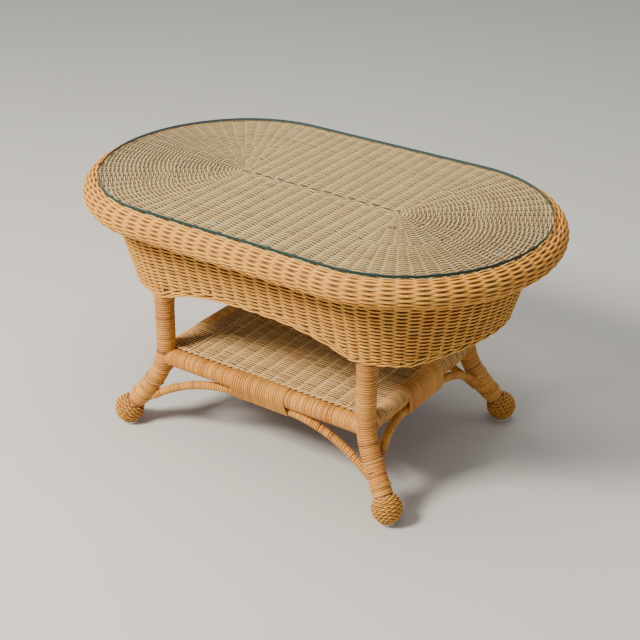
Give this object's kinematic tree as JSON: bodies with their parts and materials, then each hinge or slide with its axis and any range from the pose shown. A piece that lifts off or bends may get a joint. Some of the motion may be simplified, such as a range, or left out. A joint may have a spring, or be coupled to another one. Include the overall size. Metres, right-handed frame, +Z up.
{
  "type": "wicker coffee table",
  "caption": "Oval woven rattan coffee table with a loose glass top, rolled rim, tapering arched apron, cane-wrapped splayed legs on ball feet, braces and a woven lower shelf.",
  "frame": {"origin": "on the floor, under the middle of the table", "axes": "+X along the table's length, +Y across it, towards the back, +Z up"},
  "size_m": [0.9458, 0.6038, 0.5],
  "materials": {
    "glass": "polished",
    "clear_pad": "satin",
    "wicker": "satin",
    "shelf_wicker": "matte",
    "cane_wrap": "satin",
    "rattan_pole": "satin",
    "glide": "matte",
    "steel": "plain"
  },
  "bodies": {
    "table": {"ankle_ties": "cane_wrap", "apron_inner_hoop": "rattan_pole", "apron_weave": "wicker", "binding_back": "cane_wrap", "binding_front": "cane_wrap", "binding_left": "cane_wrap", "binding_right": "cane_wrap", "brace_back": "rattan_pole", "brace_front": "rattan_pole", "brace_left": "rattan_pole", "brace_right": "rattan_pole", "brace_wrap_back": "cane_wrap", "brace_wrap_front": "cane_wrap", "brace_wrap_left": "cane_wrap", "brace_wrap_right": "cane_wrap", "foot_ball_back_left": "wicker", "foot_ball_back_right": "wicker", "foot_ball_front_left": "wicker", "foot_ball_front_right": "wicker", "foot_glide_back_left": "glide", "foot_glide_back_right": "glide", "foot_glide_front_left": "glide", "foot_glide_front_right": "glide", "frame_screws": "steel", "glass_bumpers": "clear_pad", "glide_nails": "steel", "leg_post_back_left": "rattan_pole", "leg_post_back_right": "rattan_pole", "leg_post_front_left": "rattan_pole", "leg_post_front_right": "rattan_pole", "leg_wrap_back_left": "cane_wrap", "leg_wrap_back_right": "cane_wrap", "leg_wrap_front_left": "cane_wrap", "leg_wrap_front_right": "cane_wrap", "rail_wrap_back": "cane_wrap", "rail_wrap_front": "cane_wrap", "rail_wrap_left": "cane_wrap", "rail_wrap_right": "cane_wrap", "rim_core_hoop": "rattan_pole", "rim_roll_weave": "wicker", "shelf_bar_left": "rattan_pole", "shelf_bar_middle": "rattan_pole", "shelf_bar_right": "rattan_pole", "shelf_rail_back": "rattan_pole", "shelf_rail_front": "rattan_pole", "shelf_rail_left": "rattan_pole", "shelf_rail_right": "rattan_pole", "shelf_weave": "shelf_wicker", "top_cross_rail_left": "rattan_pole", "top_cross_rail_right": "rattan_pole", "top_end_slat_left": "rattan_pole", "top_end_slat_right": "rattan_pole", "top_frame_hoop": "rattan_pole", "top_slat_back": "rattan_pole", "top_slat_front": "rattan_pole", "top_slat_middle": "rattan_pole", "top_weave": "wicker"},
    "glass": {"glass_top": "glass"}
  },
  "joints": [
    {"name": "glass_lift", "type": "slide", "parent": "table", "child": "glass", "axis": [0, 0, 1], "range_m": [0, 0.15]}
  ]
}
